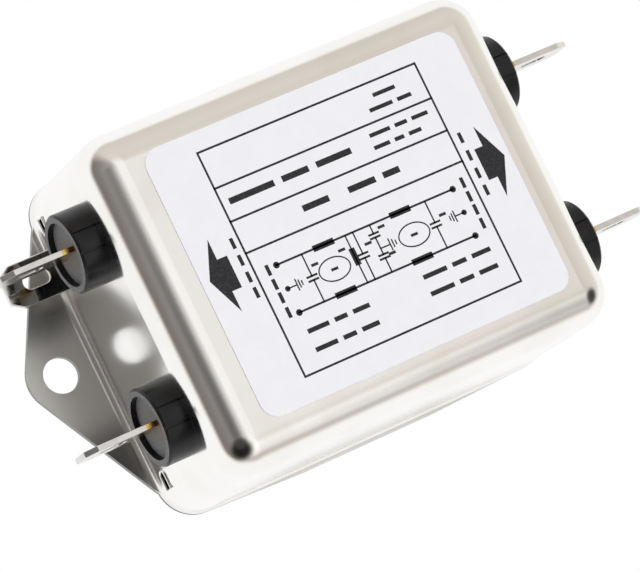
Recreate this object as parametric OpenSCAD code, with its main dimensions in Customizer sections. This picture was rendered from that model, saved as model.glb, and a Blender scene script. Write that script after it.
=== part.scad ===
// EMI line filter: drawn steel can with two mounting ears left from its flange, a flat
// bottom cover caught by lances in the end walls, four fast-on terminals in moulded
// bushings, one earth tab, and the parts inside.
// Millimetres. Origin at the centre of the underside, +Z up,
// +X from the line end (which has the earth tab) to the load end.

/* [Can] */
// length of the can, end wall to end wall
can_l = 63.6; // [60:0.1:68]
// width of the can, side wall to side wall
can_w = 50.4; // [48:0.1:54]
// height of the can top above the underside of the ears
can_top = 28.5; // [26:0.1:34]
// sheet thickness of the can
can_t = 0.8; // [0.5:0.1:1]
// radius of the drawn top edge and of the upright corners
can_r = 5.2; // [4:0.1:6]
// radius of the foot, where a wall runs out into the flange
foot_r = 1.0; // [0.6:0.1:1.6]

/* [Flange and ears] */
// how far the trimmed flange stands out at the corners
trim = 0.2; // [0.1:0.05:0.4]
// how far it stands out at the middle of each long side
lip_out = 0.8; // [0.4:0.1:1.2]
// length over which it swells from one to the other
lip_run = 16; // [8:1:20]
// distance between the two mounting holes
hole_pitch = 75.0; // [74:0.1:78]
// diameter of each mounting hole
hole_d = 5.2; // [4.5:0.1:6]
// radius of the ear tip round the mounting hole
ear_r = 5.0; // [4.8:0.1:6]
// half width of an ear where it leaves the can
ear_root = 22.6; // [20:0.1:24]

/* [Bottom cover and lances] */
// thickness of the bottom cover
base_t = 1.0; // [0.8:0.1:1.5]
// gap between the cover and the walls of the can
cover_gap = 0.1; // [0.1:0.05:0.3]
// distance from the outside of a side wall to the middle of each lance
lance_in = 5.9; // [5.2:0.1:7.2]
// height of the middle of each lance
lance_z = 4.6; // [4:0.1:6]
// width of each lance
lance_w = 3.0; // [2:0.1:3.2]
// height of each lance
lance_h = 1.8; // [1.4:0.1:2.4]
// depth the lance is pressed in
lance_d = 0.6; // [0.3:0.1:0.6]
// width of each folded tab
fold_w = 3.4; // [3:0.1:4]
// height of each folded tab
fold_h = 7.0; // [6:0.1:9]
// inside radius of each fold
fold_r = 0.6; // [0.4:0.1:0.6]

/* [Bushings] */
// distance from the outside of a side wall to each terminal
term_in = 12.2; // [11.2:0.1:13.2]
// height of each terminal above the underside
term_z = 16.8; // [15:0.1:19]
// outside diameter of the bushing collar
bush_d = 11.4; // [10:0.1:12]
// length of the collar in front of the end wall
bush_l = 3.7; // [3:0.1:6]
// diameter of the round recess in the front face
recess_d = 9.2; // [8.6:0.1:9.6]
// depth of the recess
recess_h = 0.9; // [0.6:0.1:1.4]
// diameter of the neck that fills the hole in the end wall
neck_d = 8.8; // [8.4:0.1:9]
// diameter of the snap lip behind the end wall
lip_d = 9.8; // [9.2:0.1:10.4]
// width of the two grooves along the collar
groove_w = 0.35; // [0.2:0.05:0.5]
// depth of the two grooves
groove_d = 0.25; // [0.1:0.05:0.4]
// angle of each groove from the top of the collar
groove_a = 15; // [10:1:20]

/* [Terminals] */
// width of a fast-on blade
blade_w = 6.3; // [6.2:0.05:6.4]
// thickness of a fast-on blade
blade_t = 0.8; // [0.8:0.05:0.85]
// reach of a blade in front of the bushing
blade_out = 10.6; // [8:0.1:11]
// length of the blade hole
blade_hole_l = 4.1; // [1.6:0.1:4.4]
// width of the blade hole
blade_hole_w = 2.1; // [1.5:0.1:2.3]
// distance from the blade tip to the middle of its hole
blade_hole_in = 4.9; // [4:0.1:5.5]
// length of the chamfer on each tip corner
tip_l = 1.8; // [1:0.1:2.2]
// height of the chamfer on each tip corner
tip_w = 1.1; // [0.6:0.1:1.4]
// height of the middle of the earth tab
earth_z = 5.6; // [5.5:0.1:7]
// reach of the earth tab in front of the end wall
earth_out = 9.7; // [8:0.1:11]

/* [Label] */
// length of the label
label_l = 49.8; // [44:0.1:52]
// width of the label
label_w = 39.8; // [36:0.1:40]
// corner radius of the label
label_r = 2.5; // [1:0.1:5]
// thickness of the label
label_t = 0.1; // [0.1:0.05:0.3]
// offset of the label along the length
label_x = 0.65; // [-1:0.05:1]
// offset of the label along the width
label_y = 0.2; // [-0.2:0.05:0.2]

/* [Inside] */
// thickness of the insulating sheet
sheet_t = 0.4; // [0.2:0.1:0.6]
// how far the insulating sheet reaches past the rows of small parts
sheet_over = 0.4; // [-1.6:0.1:0.9]
// distance from each end wall to the insulating sheet
sheet_end = 4.4; // [4:0.1:6]
// height of the circuit board underside
board_z = 3.0; // [2.6:0.1:4]
// thickness of the circuit board
board_t = 1.6; // [1:0.1:2]
// gap between the circuit board and each side wall
board_gap = 2.4; // [1.4:0.1:4.4]
// outside diameter of each ring core
core_od = 16; // [14:0.5:16]
// inside diameter of each ring core
core_id = 8; // [7:0.5:9]
// height of each ring core
core_h = 7; // [5:0.5:9]
// thickness of the wire layer on each core
wire_t = 1.1; // [0.8:0.1:1.2]
// angle each winding covers
wind_a = 140; // [90:5:150]
// distance from the middle of the filter to each core
core_x = 13.4; // [13:0.1:14]
// distance from the middle of the filter to each outer box capacitor
cap_x = 25.4; // [25.4:0.1:25.8]
// length of each box capacitor
box_l = 17; // [13:0.5:18]
// thickness of each box capacitor
box_t = 5.2; // [4:0.1:5.4]
// height of each box capacitor
box_h = 11.5; // [9:0.5:14]
// diameter of each disc capacitor
disc_d = 8; // [6:0.5:9]
// thickness of each disc capacitor
disc_t = 3.4; // [2.5:0.1:4]
// distance from each long edge of the board to the rows of small parts
small_in = 6.4; // [5.5:0.1:7]
// diameter of the leads of the small parts
lead_d = 0.8; // [0.6:0.05:0.8]
// lead spacing of a disc capacitor
disc_pitch = 5; // [5:0.5:6]
// lead spacing of the resistor
res_pitch = 10; // [9:0.5:12]
// length of the resistor body
res_l = 6.6; // [6:0.1:7.5]
// diameter of the resistor body
res_d = 2.6; // [2.2:0.1:2.8]
// height of the middle of the resistor above the board
res_up = 1.4; // [1.4:0.1:2]

/* [Hidden] */
$fn = 64;
hx = can_l / 2;                      // outside of an end wall
hy = can_w / 2;                      // outside of a side wall
lance_y = hy - lance_in;              // middle of a lance
term_y = hy - term_in;               // middle of a terminal
hole_x = hole_pitch / 2;
board_top = board_z + board_t;
foot_z = foot_r + can_t;             // height at which the foot meets the wall
fold_x = hx - can_t - lance_d;       // outer face of a folded tab
lip_x = hx - can_t;                  // front of the snap lip
bush_in = hx - can_t - 1.4;          // inner end of a bushing
leg_out = bush_in - 0.4;             // outer edge of a blade leg
leg_in = leg_out - 2.6;              // inner edge of a blade leg
pin_w = 1.4;                         // width of the solder pin under a leg
pin_in = 0.6;                        // step from the inner edge of a leg to its pin
pin_z = 2.0;                         // height of the pin and lead ends
board_l = 2 * (fold_x - base_t) - 1.0;
board_w = 2 * (hy - can_t - board_gap);
small_y = board_w / 2 - small_in;    // row of small parts
sheet_w = 2 * (small_y + sheet_over);

// ---- shared outlines ----
module rounded(l, w, r) {
  square([l - 2 * r, w], center = true);
  square([l, w - 2 * r], center = true);
  for (a = [-1, 1], b = [-1, 1]) translate([a * (l / 2 - r), b * (w / 2 - r)]) circle(r);
}

// box with round upright corners and a round top edge, standing on z = z0
module drawn(l, w, z0, z1, r) {
  translate([0, 0, z0]) linear_extrude(z1 - r - z0) rounded(l, w, r);
  translate([0, 0, (z0 + z1) / 2]) cube([l - 2 * r, w - 2 * r, z1 - z0], center = true);
  for (a = [-1, 1]) {
    translate([0, a * (w / 2 - r), z1 - r]) rotate([0, 90, 0])
      cylinder(r = r, h = l - 2 * r, center = true);
    translate([a * (l / 2 - r), 0, z1 - r]) rotate([90, 0, 0])
      cylinder(r = r, h = w - 2 * r, center = true);
    for (b = [-1, 1]) translate([a * (l / 2 - r), b * (w / 2 - r), z1 - r]) sphere(r);
  }
}

// outline of a lance, in the plane of an end wall: its free end is round
module lance_shape(g) {
  r = lance_h / 2;
  translate([r - lance_w / 2, 0]) circle(r + g / 2);
  translate([r - lance_w / 2, -r - g / 2]) square([lance_w - r + g / 2, lance_h + g]);
}

// an upright plate shape standing in the x-z plane, thickness t about y = 0
module upright(t) {
  translate([0, t / 2, 0]) rotate([90, 0, 0]) linear_extrude(t) children();
}

// ---- can ----
// section of the foot: the sheet bends out of the wall (x = 0) and runs on flat
module foot_section(run) {
  translate([foot_r, foot_z]) intersection() {
    difference() { circle(foot_z); circle(foot_r); }
    translate([-foot_z, -foot_z]) square(foot_z);
  }
  translate([foot_r, 0]) square([run, can_t]);
}

// foot along one wall: from the middle of the can, dist to the wall and len along it
module foot_side(dist, len) {
  translate([dist, len / 2, 0]) rotate([90, 0, 0]) linear_extrude(len) foot_section(foot_r);
}

// outline that the flange is cut to after drawing, with the two ears
module trim_line() {
  rounded(can_l + 2 * trim, can_w + 2 * trim, can_r + trim);
  for (s = [-1, 1]) polygon([
    [can_r - hx, s * (hy - foot_r)], [can_r - hx, s * (hy + trim)],
    [can_r - hx + lip_run, s * (hy + lip_out)], [hx - can_r - lip_run, s * (hy + lip_out)],
    [hx - can_r, s * (hy + trim)], [hx - can_r, s * (hy - foot_r)]]);
  for (e = [-1, 1]) {
    translate([e * hole_x, 0]) circle(ear_r);
    polygon(ear_points(e));
  }
}

// ear flank: a straight edge from the root that meets the tip circle at a tangent
function ear_points(e) =
  let (rx = hx - foot_r, ry = ear_root, dx = hole_x - rx, dist = sqrt(dx * dx + ry * ry),
       base = atan2(ry, -dx), off = acos(ear_r / dist), a = base - off,
       tx = hole_x + ear_r * cos(a), ty = ear_r * sin(a))
  [[e * tx, ty], [e * rx, ry], [e * (rx - can_r), ry], [e * (rx - can_r), -ry],
   [e * rx, -ry], [e * tx, -ty]];

// the flange: bends round the whole foot and flat ears, trimmed to one outline
module flange() {
  intersection() {
    union() {
      for (a = [0, 180]) rotate([0, 0, a]) {
        foot_side(hx, can_w - 2 * can_r);
        rotate([0, 0, 90]) foot_side(hy, can_l - 2 * can_r);
      }
      for (e = [-1, 1], s = [-1, 1]) translate([e * (hx - can_r), s * (hy - can_r), 0])
        rotate([0, 0, e > 0 ? (s > 0 ? 0 : 270) : (s > 0 ? 90 : 180)])
          rotate_extrude(angle = 90) translate([can_r, 0]) foot_section(foot_r);
      linear_extrude(can_t) difference() {
        square([2 * hole_pitch, can_w], center = true);
        square([can_l + 3 * foot_r, 2 * can_w], center = true);
      }
    }
    linear_extrude(foot_z) difference() {
      trim_line();
      for (e = [-1, 1]) translate([e * hole_x, 0]) circle(d = hole_d);
    }
  }
}

module can() {
  color([0.80, 0.78, 0.74]) difference() {
    union() {
      flange();
      difference() {
        drawn(can_l, can_w, foot_z, can_top, can_r);
        drawn(can_l - 2 * can_t, can_w - 2 * can_t, 0, can_top - can_t, can_r - can_t);
      }
      // the metal pressed inwards behind each lance
      for (e = [-1, 1], s = [-1, 1]) translate([e * (hx - can_t - lance_d / 2 + 0.1),
          s * lance_y, lance_z]) rotate([90, 0, 90])
        linear_extrude(lance_d + 0.2, center = true) rotate([0, 0, s > 0 ? 0 : 180])
          lance_shape(0);
    }
    for (e = [-1, 1], s = [-1, 1]) {
      // lance as seen from outside
      translate([e * (hx - lance_d / 2 + 0.5), s * lance_y, lance_z]) rotate([90, 0, 90])
        linear_extrude(lance_d + 1, center = true) rotate([0, 0, s > 0 ? 0 : 180])
          lance_shape(-0.3);
      // hole for a bushing neck
      translate([e * hx, s * term_y, term_z]) rotate([0, 90, 0])
        cylinder(d = neck_d, h = 5 * can_t, center = true);
    }
    // slot for the earth tab
    translate([-hx, term_y, earth_z - 0.25])
      cube([5 * can_t, blade_w + 0.2, blade_t + 0.7], center = true);
  }
}

// ---- bottom cover ----
module fold_tab() {
  // sheet folded up out of the cover: inner bend radius fold_r, facing the end wall
  translate([0, fold_w / 2, 0]) rotate([90, 0, 0]) {
    translate([fold_x - base_t, base_t + fold_r - 0.01, 0])
      linear_extrude(fold_w) square([base_t, fold_h - base_t - fold_r]);
    translate([fold_x + fold_r, base_t + fold_r, 0]) linear_extrude(fold_w)
      intersection() {
        difference() { circle(fold_r + base_t); circle(fold_r); }
        translate([-3, -3]) square([3, 3]);
      }
  }
}

module base_plate() {
  inset = can_t + cover_gap;
  color([0.62, 0.61, 0.58]) {
    difference() {
      linear_extrude(base_t)
        rounded(can_l - 2 * inset, can_w - 2 * inset, can_r - inset);
      // windows left in the cover by the folded tabs
      for (e = [0, 180], s = [-1, 1]) rotate([0, 0, e]) translate([0, s * lance_y, 0])
        translate([fold_x + fold_r - fold_h, -fold_w / 2, -1])
          cube([fold_h, fold_w, base_t + 2]);
    }
    for (e = [0, 180], s = [-1, 1]) rotate([0, 0, e]) translate([0, s * lance_y, 0])
      fold_tab();
  }
}

// ---- label ----
module label() {
  color([0.93, 0.94, 0.96]) translate([label_x, label_y, can_top])
    linear_extrude(label_t) rounded(label_l, label_w, label_r);
}

// ---- bushing, drawn at the load end on the centre line, then placed ----
module bushing() {
  color([0.05, 0.05, 0.055]) difference() {
    rotate([0, 90, 0]) rotate_extrude($fn = 96) polygon([
      [0, bush_in], [neck_d / 2 - 0.5, bush_in], [lip_d / 2, lip_x - 0.3],
      [lip_d / 2, lip_x], [neck_d / 2, lip_x], [neck_d / 2, hx], [bush_d / 2, hx],
      [bush_d / 2, hx + bush_l - 0.3], [bush_d / 2 - 0.3, hx + bush_l],
      [recess_d / 2, hx + bush_l], [recess_d / 2, hx + bush_l - recess_h],
      [0, hx + bush_l - recess_h]]);
    // slot that the blade is pressed through
    translate([hx, 0, 0]) cube([4 * (can_t + bush_l), blade_t, blade_w], center = true);
    // two grooves along the top of the collar
    for (s = [-1, 1]) rotate([s * groove_a, 0, 0])
      translate([hx, -groove_w / 2, bush_d / 2 - groove_d])
        cube([bush_l + 1, groove_w, groove_d + 1]);
  }
}

// ---- blade: fast-on tab outside, leg with a solder pin inside ----
module blade_outline() {
  tip = hx + bush_l + blade_out;
  h = blade_w / 2;
  difference() {
    polygon([
      [tip, h - tip_w], [tip - tip_l, h], [leg_in, h],
      [leg_in, board_top - term_z], [leg_in + pin_in, board_top - term_z],
      [leg_in + pin_in, pin_z - term_z], [leg_in + pin_in + pin_w, pin_z - term_z],
      [leg_in + pin_in + pin_w, board_top - term_z], [leg_out, board_top - term_z],
      [leg_out, -h], [tip - tip_l, -h], [tip, -h + tip_w]]);
    translate([tip - blade_hole_in, 0]) {
      square([blade_hole_l - blade_hole_w, blade_hole_w], center = true);
      for (s = [-1, 1]) translate([s * (blade_hole_l - blade_hole_w) / 2, 0])
        circle(d = blade_hole_w);
    }
  }
}

module blade() {
  tip = hx + bush_l + blade_out;
  color([0.80, 0.80, 0.77]) difference() {
    upright(blade_t) blade_outline();
    // both faces of the tip are bevelled
    for (s = [-1, 1]) translate([tip + 0.1, s * blade_t / 2, 0]) rotate([0, 0, s * -12])
      translate([-1.0, s * 0.5, 0]) cube([6, 1, blade_w + 2], center = true);
  }
}

// ---- earth tab: flat tab outside, bent down behind the end wall ----
module earth_tab() {
  r = 0.5;
  xi = -(hx - can_t);
  zt = earth_z + blade_t / 2;
  zb = earth_z - blade_t / 2;
  tip = -(hx + earth_out);
  color([0.78, 0.77, 0.73]) translate([0, term_y, 0]) difference() {
    union() {
      intersection() {
        translate([tip, -blade_w / 2, zb]) cube([-tip + xi - r, blade_w, blade_t]);
        translate([0, 0, zb - 1]) linear_extrude(blade_t + 2) polygon([
          [tip, -blade_w / 2 + tip_w], [tip + tip_l, -blade_w / 2], [0, -blade_w / 2],
          [0, blade_w / 2], [tip + tip_l, blade_w / 2], [tip, blade_w / 2 - tip_w]]);
      }
      upright(blade_w) translate([xi - r, zb - r]) intersection() {
        difference() { circle(r + blade_t); circle(r); }
        square([3, 3]);
      }
      translate([xi, -blade_w / 2, base_t]) cube([blade_t, blade_w, zb - r - base_t]);
    }
    // oblong hole
    translate([tip + blade_hole_in, 0, zb - 1]) linear_extrude(blade_t + 2) {
      square([blade_hole_l - blade_hole_w, blade_hole_w], center = true);
      for (s = [-1, 1]) translate([s * (blade_hole_l - blade_hole_w) / 2, 0])
        circle(d = blade_hole_w);
    }
    // bevels on both faces of the tip
    for (s = [-1, 1]) translate([tip - 0.1, 0, earth_z + s * blade_t / 2])
      rotate([0, s * -12, 0]) translate([1.0, 0, s * 0.5])
        cube([6, blade_w + 2, 1], center = true);
  }
}

// ---- inside ----
module insulating_sheet() {
  color([0.85, 0.80, 0.62]) translate([0, 0, base_t])
    linear_extrude(sheet_t) square([2 * (hx - sheet_end), sheet_w], center = true);
}

module circuit_board() {
  color([0.20, 0.42, 0.24]) difference() {
    translate([-board_l / 2, -board_w / 2, board_z]) cube([board_l, board_w, board_t]);
    // slots for the solder pins
    for (e = [-1, 1], s = [-1, 1])
      translate([e * (leg_in + pin_in + pin_w / 2), s * term_y, board_z])
        cube([pin_w, blade_t, 4 * board_t], center = true);
    // clearance holes for the leads of the small parts
    for (s = [-1, 1], b = [-1, 1])
      translate([s * core_x + b * disc_pitch / 2, small_y, board_z - 1])
        cylinder(d = lead_d, h = board_t + 2, $fn = 24);
    for (b = [-1, 1]) translate([b * res_pitch / 2, -small_y, board_z - 1])
      cylinder(d = lead_d, h = board_t + 2, $fn = 24);
  }
}

module core() {
  color([0.22, 0.20, 0.19]) translate([0, 0, board_top + wire_t]) rotate_extrude()
    translate([core_id / 2, 0]) square([(core_od - core_id) / 2, core_h]);
}

// one winding: a layer of wire wrapped round the core over part of a turn
module winding() {
  color([0.66, 0.33, 0.16]) translate([0, 0, board_top])
    rotate([0, 0, 90 - wind_a / 2]) rotate_extrude(angle = wind_a) difference() {
      translate([core_id / 2 - wire_t, 0])
        square([(core_od - core_id) / 2 + 2 * wire_t, core_h + 2 * wire_t]);
      translate([core_id / 2, wire_t]) square([(core_od - core_id) / 2, core_h]);
    }
}

module box_cap() {
  color([0.75, 0.66, 0.20]) translate([0, 0, board_top]) linear_extrude(box_h)
    rounded(box_t, box_l, 0.6);
}

module disc_cap() {
  color([0.20, 0.35, 0.60]) {
    translate([0, 0, board_top + 1 + disc_d / 2]) rotate([90, 0, 0])
      cylinder(d = disc_d, h = disc_t, center = true);
    for (b = [-1, 1]) translate([b * disc_pitch / 2, 0, pin_z])
      cylinder(d = lead_d, h = board_top + disc_d / 3 - pin_z, $fn = 24);
  }
}

module bleed_resistor() {
  z = board_top + res_up;
  color([0.72, 0.62, 0.46]) {
    translate([0, 0, z]) rotate([0, 90, 0]) cylinder(d = res_d, h = res_l, center = true);
    translate([0, 0, z]) rotate([0, 90, 0])
      cylinder(d = lead_d, h = res_pitch, center = true, $fn = 24);
    for (b = [-1, 1]) translate([b * res_pitch / 2, 0, 0]) {
      translate([0, 0, z]) sphere(d = lead_d, $fn = 24);
      translate([0, 0, pin_z]) cylinder(d = lead_d, h = z - pin_z, $fn = 24);
    }
  }
}

// ---- placing ----
module at_term(load, s) {
  // load end as drawn, line end turned half round
  rotate([0, 0, load ? 0 : 180])
    translate([0, load ? s * term_y : -s * term_y, term_z]) children();
}

can();
base_plate();
label();
at_term(false, 1) bushing();  // bushing_line_pos
at_term(false, -1) bushing();  // bushing_line_neg
at_term(true, 1) bushing();  // bushing_load_pos
at_term(true, -1) bushing();  // bushing_load_neg
at_term(false, 1) blade();  // blade_line_pos
at_term(false, -1) blade();  // blade_line_neg
at_term(true, 1) blade();  // blade_load_pos
at_term(true, -1) blade();  // blade_load_neg
earth_tab();
insulating_sheet();
circuit_board();
translate([-core_x, 0, 0]) core();  // core_line
translate([core_x, 0, 0]) core();  // core_load
translate([-core_x, 0, 0]) winding();  // winding_line_pos
translate([-core_x, 0, 0]) rotate([0, 0, 180]) winding();  // winding_line_neg
translate([core_x, 0, 0]) winding();  // winding_load_pos
translate([core_x, 0, 0]) rotate([0, 0, 180]) winding();  // winding_load_neg
translate([-cap_x, 0, 0]) box_cap();  // box_cap_line
box_cap();  // box_cap_mid
translate([cap_x, 0, 0]) box_cap();  // box_cap_load
translate([core_x, small_y, 0]) disc_cap();  // disc_cap_pos
translate([-core_x, small_y, 0]) disc_cap();  // disc_cap_neg
translate([0, -small_y, 0]) bleed_resistor();
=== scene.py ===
import math

import bmesh
import bpy
from mathutils import Matrix, Vector


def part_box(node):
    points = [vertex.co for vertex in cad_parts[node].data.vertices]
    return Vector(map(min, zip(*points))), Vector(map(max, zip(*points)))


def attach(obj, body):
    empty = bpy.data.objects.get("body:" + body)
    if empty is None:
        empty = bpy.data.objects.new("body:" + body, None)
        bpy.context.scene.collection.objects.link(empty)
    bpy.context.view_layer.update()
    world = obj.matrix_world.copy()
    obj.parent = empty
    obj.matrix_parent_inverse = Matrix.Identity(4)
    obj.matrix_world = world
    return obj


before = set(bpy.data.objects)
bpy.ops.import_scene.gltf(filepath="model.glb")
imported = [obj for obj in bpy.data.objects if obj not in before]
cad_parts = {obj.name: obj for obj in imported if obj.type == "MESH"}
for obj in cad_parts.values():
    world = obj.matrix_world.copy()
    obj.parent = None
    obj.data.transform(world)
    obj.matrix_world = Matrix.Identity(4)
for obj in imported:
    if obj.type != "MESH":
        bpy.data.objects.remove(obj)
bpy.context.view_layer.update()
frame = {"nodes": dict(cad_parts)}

bpy.ops.object.select_all(action="DESELECT")

# ---- Camera ----
# A long lens looks down on the line end from about half a metre,
# with the load end away to the upper right.
lens_mm = 241.2
camera_at = Vector((-0.24128, -0.05978, 0.55295))
camera_right = Vector((0.839052, -0.434716, 0.32713))
camera_down = Vector((-0.364987, -0.89567, -0.254085))
camera_forward = Vector((0.403455, 0.093793, -0.910179))
bpy.ops.object.camera_add()
camera = bpy.context.object
camera.name = "camera"
camera.data.lens = lens_mm
camera.data.sensor_width = 36.0
camera.data.clip_start = 0.01
camera.data.clip_end = 20.0
turn = Matrix((camera_right, -camera_down, -camera_forward)).transposed()
camera.matrix_world = Matrix.Translation(camera_at) @ turn.to_4x4()
bpy.context.scene.camera = camera

# ---- Studio ----
# A white table in a pale room: a dim wall beyond the line end and warm ones beyond
# the load end and the +Y side, with dark things that the round corners pick up.
bpy.context.scene.view_settings.view_transform = "Standard"


class Socket:
    """A node socket that sums and scales as a number does."""

    def __init__(self, nodes, out):
        self.nodes, self.out = nodes, out

    def maths(self, operation, *others):
        node = self.nodes.tree.nodes.new("ShaderNodeMath")
        node.operation = operation
        for place, value in enumerate((self, *others)):
            self.nodes.feed(node.inputs[place], value)
        return Socket(self.nodes, node.outputs[0])

    def __add__(self, other):
        return self.maths("ADD", other)

    def __radd__(self, other):
        return self.maths("ADD", other)

    def __sub__(self, other):
        return self.maths("SUBTRACT", other)

    def __mul__(self, other):
        return self.maths("MULTIPLY", other)

    def __truediv__(self, other):
        return self.maths("DIVIDE", other)


class Nodes:
    """The node tree of one material or world, emptied and ready for new nodes."""

    def __init__(self, owner):
        owner.use_nodes = True
        self.tree = owner.node_tree
        self.tree.nodes.clear()

    def feed(self, socket, value):
        if isinstance(value, Socket):
            self.tree.links.new(value.out, socket)
        else:
            socket.default_value = value

    def node(self, kind, settings=None, values=None, out=0):
        made = self.tree.nodes.new(kind)
        for name, value in (settings or {}).items():
            setattr(made, name, value)
        for name, value in (values or {}).items():
            self.feed(made.inputs[name], value)
        return Socket(self, made.outputs[out])

    def ramp(self, factor, stops):
        made = self.tree.nodes.new("ShaderNodeValToRGB")
        elements = made.color_ramp.elements
        elements.remove(elements[1])
        elements[0].position = stops[0][0]
        elements[0].color = (*stops[0][1], 1)
        for place, colour in stops[1:]:
            elements.new(place).color = (*colour, 1)
        self.feed(made.inputs[0], factor)
        return Socket(self, made.outputs[0])

    def blend(self, factor, first, second):
        made = self.tree.nodes.new("ShaderNodeMix")
        made.data_type = "RGBA"
        self.feed(made.inputs[0], factor)
        self.feed(made.inputs[6], first)
        self.feed(made.inputs[7], second)
        return Socket(self, made.outputs[2])

    def span(self, value, low, high):
        """0 below low, 1 above high, and smooth between."""
        return self.node("ShaderNodeMapRange", {"interpolation_type": "SMOOTHSTEP"},
                         {"Value": value, "From Min": low, "From Max": high})

    def noise(self, at, scale, detail=2.0, rough=0.5):
        return self.node("ShaderNodeTexNoise", None,
                         {"Vector": at, "Scale": scale, "Detail": detail, "Roughness": rough})

    def split(self, vector):
        made = self.tree.nodes.new("ShaderNodeSeparateXYZ")
        self.tree.links.new(vector.out, made.inputs[0])
        return [Socket(self, out) for out in made.outputs]

    def bump(self, height):
        """Height is in millimetres."""
        return self.node("ShaderNodeBump", None,
                         {"Strength": 1.0, "Distance": 0.001, "Height": height})

    def finish(self, shader, kind="ShaderNodeOutputMaterial"):
        end = self.tree.nodes.new(kind)
        self.tree.links.new(shader.out, end.inputs["Surface"])


world = bpy.data.worlds.new("studio")
bpy.context.scene.world = world
sky = Nodes(world)
aim = sky.node("ShaderNodeTexCoord", out=0)
east, north, up = sky.split(aim)
flat = (east * east + north * north).maths("SQRT") + 0.001
to_line = sky.span((east * -1) / flat, 0.30, 0.80)
to_load = sky.span(east / flat, 0.45, 0.95)
line_wall = sky.ramp(up, [
    (0.00, (0.92, 0.88, 0.82)), (0.06, (0.66, 0.61, 0.56)), (0.17, (0.19, 0.165, 0.150)),
    (0.45, (0.23, 0.210, 0.195)), (0.72, (0.30, 0.285, 0.275)), (0.93, (0.37, 0.355, 0.350)),
    (0.985, (0.68, 0.67, 0.66)), (1.00, (0.88, 0.87, 0.86)),
])
side_wall = sky.ramp(up, [
    (0.00, (1.02, 0.99, 0.96)), (0.10, (0.92, 0.88, 0.84)), (0.22, (0.62, 0.58, 0.55)),
    (0.36, (0.54, 0.51, 0.48)), (0.50, (0.88, 0.85, 0.82)), (0.64, (1.10, 1.08, 1.05)),
    (0.80, (1.14, 1.13, 1.11)), (1.00, (1.02, 1.01, 0.99)),
])
load_wall = sky.ramp(up, [
    (0.00, (0.95, 0.92, 0.88)), (0.15, (0.78, 0.74, 0.68)), (0.70, (0.70, 0.645, 0.585)),
    (0.86, (0.64, 0.585, 0.525)), (0.92, (0.90, 0.885, 0.865)), (1.00, (1.00, 0.99, 0.97)),
])
far_wall = sky.ramp(up, [
    (0.00, (0.98, 0.95, 0.91)), (0.12, (0.66, 0.62, 0.57)), (0.50, (0.70, 0.655, 0.60)),
    (0.86, (0.74, 0.69, 0.63)), (1.00, (1.00, 0.99, 0.97)),
])
to_far = sky.span(north / flat, 0.18, 0.70)
room = sky.blend(to_load, sky.blend(to_far, side_wall, far_wall), load_wall)
room = sky.blend(to_line, room, line_wall)


def dark_patch(under, azimuth, elevation, inner, outer, colour):
    """Something dark that stands in the room, such as a flag or a person."""
    level = math.cos(math.radians(elevation))
    toward = (level * math.cos(math.radians(azimuth)), level * math.sin(math.radians(azimuth)),
              math.sin(math.radians(elevation)))
    facing = sky.node("ShaderNodeVectorMath", {"operation": "DOT_PRODUCT"},
                      {0: aim, 1: toward}, out=1)
    inside = sky.span(facing, math.cos(math.radians(outer)), math.cos(math.radians(inner)))
    return sky.blend(inside, under, (*colour, 1))


room = dark_patch(room, -134, 44, 19, 40, (0.010, 0.009, 0.010))
room = dark_patch(room, -160, 57, 4, 24, (0.055, 0.050, 0.050))
room = dark_patch(room, -36, 29, 10, 24, (0.04, 0.037, 0.037))
seen = sky.node("ShaderNodeLightPath", out=0)
white = (1.0, 1.0, 1.0, 1.0)
light = sky.node("ShaderNodeBackground", None, {"Color": room, "Strength": 1.0})
blank = sky.node("ShaderNodeBackground", None, {"Color": white, "Strength": 1.0})
both = sky.node("ShaderNodeMixShader", None, {0: seen, 1: light, 2: blank})
sky.finish(both, "ShaderNodeOutputWorld")

table_gap = 0.00005
table_size = 6.0
bpy.ops.mesh.primitive_plane_add(size=table_size, location=(0, 0, -table_gap))
floor = bpy.context.object
floor.name = "floor"
table = bpy.data.materials.new("white_table")
t = Nodes(table)
matt = t.node("ShaderNodeBsdfDiffuse", None, {"Color": (0.90, 0.89, 0.87, 1)})
plain = t.node("ShaderNodeEmission", None, {"Color": white, "Strength": 1.0})
to_camera = t.node("ShaderNodeLightPath", out=0)
to_gloss = t.node("ShaderNodeLightPath", out=3)
to_glass = t.node("ShaderNodeLightPath", out=6)
shows = to_camera.maths("MAXIMUM", to_gloss).maths("MAXIMUM", to_glass)
top = t.node("ShaderNodeMixShader", None, {0: shows, 1: matt, 2: plain})
under = t.node("ShaderNodeNewGeometry", out=6)
clear = t.node("ShaderNodeBsdfTransparent")
t.finish(t.node("ShaderNodeMixShader", None, {0: under, 1: top, 2: clear}))
floor.data.materials.append(table)

# a broad soft lamp overhead lifts the matt surfaces and stays out of the reflections
bpy.ops.object.light_add(type="SUN", location=(0, 0, 1), rotation=(0.35, -0.20, 0))
lamp = bpy.context.object
lamp.name = "overhead"
lamp.data.energy = 1.58
lamp.data.angle = math.radians(70)
lamp.visible_glossy = False

# ---- Can ----
# Drawn steel with a bright nickel plate, ears and all in one sheet: smooth, faintly
# waved by the press, with fine pits and a slight cloud where it has been handled.
nodes = frame["nodes"]
mm = 0.001


def dress(name, material):
    """Gives a carried-over node its finish."""
    nodes[name].data.materials.clear()
    nodes[name].data.materials.append(material)


class Place:
    """Object coordinates of one material, split into numbers in millimetres."""

    def __init__(self, m):
        self.at = m.node("ShaderNodeTexCoord", out=3)
        self.x, self.y, self.z = (part * 1000.0 for part in m.split(self.at))


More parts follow.
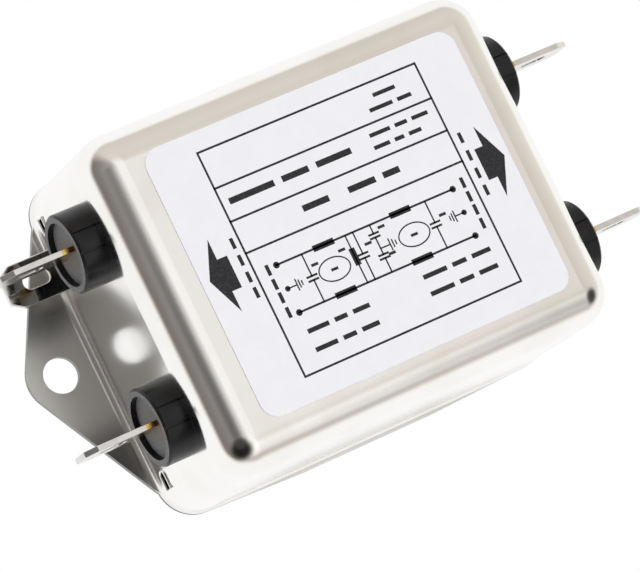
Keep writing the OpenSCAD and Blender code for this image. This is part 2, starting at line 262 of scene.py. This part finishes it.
def metal(name, colour, tint, rough, pits, wave, extra=None):
    """Plated sheet: colour drifts to tint in clouds, and pits and a slow wave bend the
    reflections. extra takes the tree, its place, colour and roughness and returns both."""
    material = bpy.data.materials.new(name)
    m = Nodes(material)
    place = Place(m)
    cloud = m.noise(place.at, 110.0, 3.0)
    grain = m.noise(place.at, 2600.0, 2.0)
    spots = m.span(m.noise(place.at, 1300.0, 1.0), 0.69, 0.78)
    shade = m.blend(m.span(cloud, 0.42, 0.70), (*colour, 1), (*tint, 1))
    dull = rough + cloud * 0.05 + spots * 0.05
    if extra:
        shade, dull = extra(m, place, shade, dull)
    height = m.noise(place.at, 150.0, 1.0) * wave + grain * pits - spots * (pits * 0.9)
    m.finish(m.node("ShaderNodeBsdfPrincipled", None, {
        "Base Color": shade, "Metallic": 1.0, "Roughness": dull, "Normal": m.bump(height)}))
    return material


collar_l = 3.7
wall_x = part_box("bushing_load_pos")[1][0] * 1000.0 - collar_l
lance_z = (3.6, 5.6)
pocket_end = 20.85
cut_edge, ear_top, foot_top = 0.80, 1.6, 3.0
duller_plate = (0.62, 0.61, 0.595, 1)
# bare steel at the cut edges, painted darker: painted shade of the shadowed gap at the flange edge
bare_steel_painted_shade = (0.30, 0.29, 0.28, 1)
# painted shade for the inside of the pocket behind each lance
painted_pocket_shade = (0.07, 0.065, 0.06, 1)


def can_wear_and_painted_shade(m, place, shade, dull):
    """Bare steel at the cut edges, painted darker as painted shade of the gap there; painted shade
    in the pocket behind each lance; and ears whose plating is duller than the walls'."""
    outward = place.x.maths("ABSOLUTE")
    # low marks the cut edges, coloured as bare steel and darkened as painted shade of the gap
    # there
    low = m.span(place.z, cut_edge, cut_edge - 0.06)
    # the pocket behind each lance is painted dark: painted shade in the recess
    pocket = (m.span(outward, wall_x - 0.04, wall_x - 0.12)
              * m.span(place.z, lance_z[0] - 0.1, lance_z[0])
              * m.span(place.z, lance_z[1] + 0.1, lance_z[1])
              * m.span(place.y.maths("ABSOLUTE"), pocket_end, pocket_end - 0.1))
    beyond_wall = m.span(outward, wall_x + 0.1, wall_x + 0.8)
    ear = m.span(place.z, ear_top, ear_top - 0.6) * beyond_wall
    foot = m.span(place.z, foot_top, ear_top)
    steel = m.blend(ear, shade, duller_plate)
    steel = m.blend(low, steel, bare_steel_painted_shade)
    steel = m.blend(pocket, steel, painted_pocket_shade)
    return steel, dull + foot * 0.13 + low * 0.12 + pocket * 0.2


can_plate = metal("nickel_plate", (0.95, 0.94, 0.92), (0.92, 0.905, 0.875), 0.14, 0.0025, 0.010,
                  can_wear_and_painted_shade)
dress("can", can_plate)

# ---- Lance rims ----
# Each lance is sheared on three sides and pressed in, which raises a thin rim of
# metal round its free end: a U lying on its side, open towards the corner.
rim_r, rim_in, rim_out, rim_half = 0.21, 17.95, 20.75, 0.85
rim_mid = (lance_z[0] + lance_z[1]) / 2
bpy.ops.object.select_all(action="DESELECT")
rims = []
for end in (-1, 1):
    for side in (-1, 1):
        path = [(rim_out, -rim_half)]
        path += [(rim_in + rim_half - rim_half * math.sin(math.pi * i / 12),
                  -rim_half * math.cos(math.pi * i / 12)) for i in range(13)]
        path += [(rim_out, rim_half)]
        curve = bpy.data.curves.new("lance_rim", "CURVE")
        curve.dimensions = "3D"
        curve.bevel_depth = rim_r * mm
        curve.bevel_resolution = 4
        curve.use_fill_caps = True
        line = curve.splines.new("POLY")
        line.points.add(len(path) - 1)
        for point, (y, z) in zip(line.points, path):
            point.co = (end * (wall_x + 0.02) * mm, side * y * mm, (rim_mid + z) * mm, 1)
        rims.append(bpy.data.objects.new("lance_rim", curve))
        bpy.context.collection.objects.link(rims[-1])
for rim in rims:
    rim.select_set(True)
bpy.context.view_layer.objects.active = rims[0]
bpy.ops.object.convert(target="MESH")
bpy.ops.object.join()
lance_rims = bpy.context.object
lance_rims.name = "lance_rims"
lance_rims.data.materials.clear()
lance_rims.data.materials.append(metal("rim_plate", (0.95, 0.94, 0.92), (0.90, 0.88, 0.86),
                                       0.2, 0.002, 0.0))
for face in lance_rims.data.polygons:
    face.use_smooth = True
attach(lance_rims, "root")

# ---- Bottom cover ----
# A flat plate of the same sheet, dropped into the mouth of the can and held by
# its four folded tabs under the lances. It is duller, as it is never handled.
dress("base_plate", metal("dull_plate", (0.66, 0.65, 0.62), (0.60, 0.58, 0.55), 0.28, 0.01, 0.01))

# ---- Label ----
# A white film sticker on the can top, faintly glossy, with a bluish white ground.
film = bpy.data.materials.new("white_film")
f = Nodes(film)
at = f.node("ShaderNodeTexCoord", out=3)
mottle = f.noise(at, 400.0, 2.0)
paper = f.blend(f.span(mottle, 0.35, 0.65), (0.885, 0.908, 0.970, 1), (0.870, 0.893, 0.955, 1))
f.finish(f.node("ShaderNodeBsdfPrincipled", None, {
    "Base Color": paper, "Roughness": 0.42 + mottle * 0.1, "Specular IOR Level": 0.3,
    "Normal": f.bump(mottle * 0.002)}))
dress("label", film)

# ---- Label print ----
# Black ink on the film: a ruled table above a wiring plan, an arrow in each side
# margin, and short marks in rows where a maker's wording would stand.
ink_t = 0.012 * mm
stroke = 0.30
ink_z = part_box("label")[1][2]
ink = bpy.data.materials.new("black_ink")
k = Nodes(ink)
at = k.node("ShaderNodeTexCoord", out=3)
speck = k.noise(at, 3000.0, 1.0)
k.finish(k.node("ShaderNodeBsdfPrincipled", None, {
    "Base Color": k.blend(k.span(speck, 0.4, 0.7), (0.018, 0.018, 0.022, 1),
                          (0.035, 0.035, 0.04, 1)),
    "Roughness": 0.5 + speck * 0.1, "Specular IOR Level": 0.3}))


def prism(outline, hole=None):
    """A flat ink shape: outline and hole are lists of (x, y) in millimetres."""
    mesh = bmesh.new()
    rings = [outline] + ([hole] if hole else [])
    edges = []
    for ring in rings:
        verts = [mesh.verts.new((x * mm, y * mm, ink_z)) for x, y in ring]
        edges += [mesh.edges.new((verts[i - 1], verts[i])) for i in range(len(verts))]
    bmesh.ops.triangle_fill(mesh, use_beauty=True, edges=edges, normal=(0, 0, 1))
    top = bmesh.ops.extrude_face_region(mesh, geom=mesh.faces[:])["geom"]
    bmesh.ops.translate(mesh, vec=(0, 0, ink_t),
                        verts=[v for v in top if isinstance(v, bmesh.types.BMVert)])
    bmesh.ops.recalc_face_normals(mesh, faces=mesh.faces[:])
    data = bpy.data.meshes.new("ink")
    mesh.to_mesh(data)
    mesh.free()
    return data


shapes = []


def shape(outline, hole=None):
    shapes.append(prism(outline, hole))


def bar(x0, y0, x1, y1, width=stroke):
    """A straight stroke between two points."""
    run = math.hypot(x1 - x0, y1 - y0)
    dx, dy = (x1 - x0) / run * width / 2, (y1 - y0) / run * width / 2
    shape([(x0 - dx - dy, y0 - dy + dx), (x0 - dx + dy, y0 - dy - dx),
           (x1 + dx + dy, y1 + dy - dx), (x1 + dx - dy, y1 + dy + dx)])


def oblong(cx, cy, w, h):
    return [(cx - w / 2, cy - h / 2), (cx + w / 2, cy - h / 2),
            (cx + w / 2, cy + h / 2), (cx - w / 2, cy + h / 2)]


def ring(cx, cy, w, h, line=stroke):
    """A hollow oblong."""
    shape(oblong(cx, cy, w, h), oblong(cx, cy, w - 2 * line, h - 2 * line))


def oval(cx, cy, w, h, steps=48):
    turns = [math.tau * i / steps for i in range(steps)]
    return [(cx + w / 2 * math.cos(turn), cy + h / 2 * math.sin(turn)) for turn in turns]


def marks(cx, cy, w, h):
    """A row of dashes of unequal length, in place of a line of words."""
    tall, gap = h * 0.30, h * 0.42
    shares = (0.42, 0.25, 0.33) if w > 4 * h else (0.62, 0.38) if w > 2.4 * h else (1.0,)
    x = cx - w / 2
    for share in shares:
        run = share * (w - gap * (len(shares) - 1))
        shape(oblong(x + run / 2, cy, run, tall))
        x += run + gap


# the frame and its three rules
left, right, low, high = -16.6, 18.5, -16.2, 17.2
ring((left + right) / 2, (low + high) / 2, right - left + stroke, high - low + stroke)
for y in (11.85, 6.9, 2.17):
    bar(left, y, right, y)
# an arrow in each margin, pointing away from the plan
for back, tip, tail, mid in ((-20.72, -23.05, -19.2, 0.58), (22.3, 24.71, 20.9, 0.62)):
    half, stem = 5.35, 2.35
    shape([(tip, mid), (back, mid + half), (back, mid + stem), (tail, mid + stem),
           (tail, mid - stem), (back, mid - stem), (back, mid - half)])
# the plan: two rails with a choke on each, capacitors between them and to earth
rail_hi, rail_lo, dot_l, dot_r = -0.88, -7.97, -13.3, 15.3
earth_y = (rail_hi + rail_lo) / 2
for y in (rail_hi, rail_lo):
    bar(dot_l, y, dot_r, y)
    for x0, x1 in ((-7.46, -4.13), (4.92, 8.27)):
        bar(x0 + 0.45, y, x1 - 0.45, y, 0.9)
for x in (dot_l, dot_r):
    for y in (rail_hi, rail_lo):
        shape(oval(x, y, 0.95, 0.95, 24))
    toward = 1 if x < 0 else -1
    shape(oval(x, earth_y, 0.8, 0.8, 24))
    bar(x, earth_y, x + toward * 1.5, earth_y, 0.2)
    for step, half in ((1.5, 0.75), (1.9, 0.5), (2.3, 0.25)):
        bar(x + toward * step, earth_y - half, x + toward * step, earth_y + half, 0.2)
for x in (-9.3, -1.1, 10.65):
    bar(x, rail_hi, x, earth_y + 0.3, 0.22)
    bar(x, rail_lo, x, earth_y - 0.3, 0.22)
    for side in (-0.3, 0.3):
        bar(x - 0.7, earth_y + side, x + 0.7, earth_y + side)
bar(-2.33, rail_hi, -2.33, rail_lo, 0.22)
bar(-2.33, -5.3 + 0.45, -2.33, -2.8 - 0.45, 0.9)
for y0, y1 in ((rail_hi, -2.2), (-2.75, -5.3), (-5.85, rail_lo)):
    bar(1.63, y0, 1.63, y1, 0.22)
for y in (-2.2, -2.75, -5.3, -5.85):
    bar(0.93, y, 2.33, y)
bar(1.63, earth_y, 3.2, earth_y, 0.2)
for step, half in ((3.2, 0.8), (3.65, 0.5), (4.1, 0.25)):
    bar(step, earth_y - half, step, earth_y + half, 0.2)
for x in (-5.82, 7.09):
    shape(oval(x, -4.48, 5.0, 3.4), oval(x, -4.48, 4.6, 3.0))
# rows of short marks
for block in ((12.44, 15.31, 3.6, 1.9), (12.6, 13.5, 6.8, 1.9), (-5.7, 9.5, 19.5, 3.0),
              (12.26, 10.3, 9.5, 1.9), (11.2, 8.5, 7.7, 1.9), (-4.1, 4.7, 4.2, 3.0),
              (5.25, 4.6, 8.3, 3.0), (-8.45, -10.8, 9.9, 2.2), (-8.4, -13.5, 10.2, 2.2),
              (10.95, -10.4, 11.0, 2.2), (10.9, -12.9, 11.0, 2.2)):
    marks(*block)
# small dashes beside the plan, and one in each choke
for x, ys in ((-17.65, (-3.2, -0.9, 1.6, 4.1)), (19.85, (5.2, 2.5, -0.2, -2.8)),
              (-14.7, (-1.1, -3.2, -5.2, -7.4)), (17.1, (-0.6, -2.7, -4.7, -6.8))):
    for y in ys:
        bar(x, y - 0.5, x, y + 0.5, 0.55)
for x, y in ((-8.2, -2.85), (3.1, -1.7), (0.27, -3.1), (2.9, -5.6), (12.2, -3.5), (-3.7, -2.5),
             (-5.82, -4.48), (7.09, -4.49)):
    bar(x - 0.35, y, x + 0.35, y, 0.4)

bpy.ops.object.select_all(action="DESELECT")
parts = []
for data in shapes:
    made = bpy.data.objects.new("ink", data)
    bpy.context.collection.objects.link(made)
    parts.append(made)
with bpy.context.temp_override(active_object=parts[0], object=parts[0],
                               selected_objects=parts, selected_editable_objects=parts):
    bpy.ops.object.join()
print_ink = parts[0]
print_ink.name = "label_print"
print_ink.data.name = "label_print"
print_ink.data.materials.clear()
print_ink.data.materials.append(ink)
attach(print_ink, "root")

# ---- Bushings ----
# Black moulded plastic, snapped through the end walls: satin, with a fine
# grain from the mould and a matt face painted grey, a painted reflection of the white table.


def plastic(name, colour, tint, rough, grain, face=None):
    """Moulded plastic or lacquer. face, if any, is a grey painted on faces square to X, a painted
    reflection of the white table; those faces are also made matt.
    """
    material = bpy.data.materials.new(name)
    m = Nodes(material)
    at = m.node("ShaderNodeTexCoord", out=3)
    cloud = m.noise(at, 300.0, 2.0)
    fine = m.noise(at, 5000.0, 1.0)
    shade = m.blend(m.span(cloud, 0.35, 0.7), (*colour, 1), (*tint, 1))
    dull = rough + cloud * 0.1
    if face:
        across = m.split(m.node("ShaderNodeTexCoord", out=1))[0].maths("ABSOLUTE")
        square = m.span(across, 0.85, 0.97)
        # the grey on faces square to X is a painted reflection of the white table
        painted_reflection_grey = m.blend(m.span(fine, 0.3, 0.7), (*face, 1), (*(c * 0.6 for c in face), 1))
        shade = m.blend(square, shade, painted_reflection_grey)
        dull = dull + square * 0.3
    m.finish(m.node("ShaderNodeBsdfPrincipled", None, {
        "Base Color": shade, "Roughness": dull, "Specular IOR Level": 0.32,
        "Normal": m.bump(fine * grain)}))
    return material


# the last colour is the grey of the painted reflection on the faces square to X
black = plastic("black_nylon", (0.004, 0.004, 0.005), (0.010, 0.010, 0.013), 0.22, 0.003,
                (0.26, 0.262, 0.275))
ends = [f"{end}_{side}" for end in ("line", "load") for side in ("pos", "neg")]
for end in ends:
    dress("bushing_" + end, black)

# ---- Blades ----
# Brass strip, tinned bright over most of its length and bare at the root, where
# it is pressed through the bushing. Its edges are sheared and slightly round.
recess_h, bare_l = 0.9 * mm, 2.3 * mm
blade_edge = 0.10 * mm
root_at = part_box("bushing_load_pos")[1][0] - recess_h


def crisp(name, width):
    """Breaks the sharp edges of a carried-over node by a small radius."""
    weld = nodes[name].modifiers.new("weld", "WELD")
    weld.merge_threshold = 0.002 * mm
    edge = nodes[name].modifiers.new("edge", "BEVEL")
    edge.width = width
    edge.segments = 2
    edge.limit_method = "ANGLE"
    edge.angle_limit = math.radians(32)
    edge.harden_normals = True


def tinned(name, bare_from, bare_to, dull):
    """Tin over brass: bare_from..bare_to is the band of |x| where the brass shows."""
    material = bpy.data.materials.new(name)
    m = Nodes(material)
    at = m.node("ShaderNodeTexCoord", out=3)
    away = m.split(at)[0].maths("ABSOLUTE")
    streak = m.noise(m.node("ShaderNodeMapping", None,
                            {"Vector": at, "Scale": (0.12, 1.0, 1.0)}), 2200.0, 2.0)
    cloud = m.noise(at, 500.0, 2.0)
    fade, stray = 0.1 * mm, 0.8 * mm
    ragged = away + (cloud - 0.5) * stray
    brass = (m.span(ragged, bare_to + fade, bare_to - fade)
             * m.span(ragged, bare_from - fade, bare_from + fade))
    tin = m.blend(m.span(cloud, 0.35, 0.7), (0.79, 0.78, 0.76, 1), (0.70, 0.685, 0.66, 1))
    gold = m.blend(m.span(cloud, 0.35, 0.65), (0.92, 0.66, 0.20, 1), (0.66, 0.40, 0.12, 1))
    m.finish(m.node("ShaderNodeBsdfPrincipled", None, {
        "Base Color": m.blend(brass, tin, gold), "Metallic": 1.0,
        "Roughness": dull + streak * 0.14, "Normal": m.bump(streak * 0.006)}))
    return material


tin = tinned("tinned_brass", root_at, root_at + bare_l, 0.16)
for end in ends:
    dress("blade_" + end, tin)
    crisp("blade_" + end, blade_edge)

# ---- Earth tab ----
# The same strip, tinned all over, lying flat through a slot low in the line wall.
tab_edge = 0.16 * mm
dress("earth_tab", tinned("tinned_tab", 0.0, 0.001 * mm, 0.0))
crisp("earth_tab", tab_edge)

# ---- Inside: board and insulating sheet ----
# A glass-epoxy board with its green mask, over a sheet of fish paper on the cover.
dress("circuit_board", plastic("green_mask", (0.05, 0.19, 0.08), (0.07, 0.24, 0.10), 0.35, 0.003))
dress("insulating_sheet", plastic("fish_paper", (0.60, 0.50, 0.31), (0.66, 0.56, 0.36), 0.7, 0.02))

# ---- Inside: chokes ----
# Sintered ferrite rings, each with two windings of enamelled copper wire whose
# turns show as fine ridges round the core, with painted shade in the grooves between them.
for side in ("line", "load"):
    dress("core_" + side, plastic("ferrite_" + side, (0.05, 0.045, 0.045), (0.07, 0.062, 0.06),
                                  0.6, 0.02))
    lo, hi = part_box("core_" + side)
    centre = ((lo[0] + hi[0]) / 2, (lo[1] + hi[1]) / 2)
    wire = bpy.data.materials.new("enamelled_wire_" + side)
    w = Nodes(wire)
    at = w.node("ShaderNodeTexCoord", out=3)
    x, y = (part - middle for part, middle in zip(w.split(at)[:2], centre))
    turn_wave = (x.maths("ARCTAN2", y) * 40.0).maths("SINE").maths("ABSOLUTE")
    # the colour darkens with turn_wave into the grooves between turns: painted shade in the
    # creases
    w.finish(w.node("ShaderNodeBsdfPrincipled", None, {
        "Base Color": w.blend(turn_wave, (0.30, 0.10, 0.04, 1), (0.62, 0.25, 0.10, 1)),
        "Metallic": 1.0, "Roughness": 0.22 + w.noise(at, 900.0) * 0.1,
        "Normal": w.bump(turn_wave * 0.25)}))
    for half in ("pos", "neg"):
        dress(f"winding_{side}_{half}", wire)

# ---- Inside: capacitors and resistor ----
# Moulded box capacitors, dipped disc capacitors and a lacquered bleed resistor.
box_case = plastic("yellow_case", (0.60, 0.46, 0.06), (0.64, 0.50, 0.08), 0.35, 0.004)
for name in ("box_cap_line", "box_cap_mid", "box_cap_load"):
    dress(name, box_case)
dip = plastic("blue_dip", (0.05, 0.16, 0.42), (0.07, 0.20, 0.48), 0.2, 0.002)
for name in ("disc_cap_pos", "disc_cap_neg"):
    dress(name, dip)
dress("bleed_resistor", plastic("lacquer", (0.55, 0.42, 0.27), (0.60, 0.47, 0.31), 0.3, 0.004))
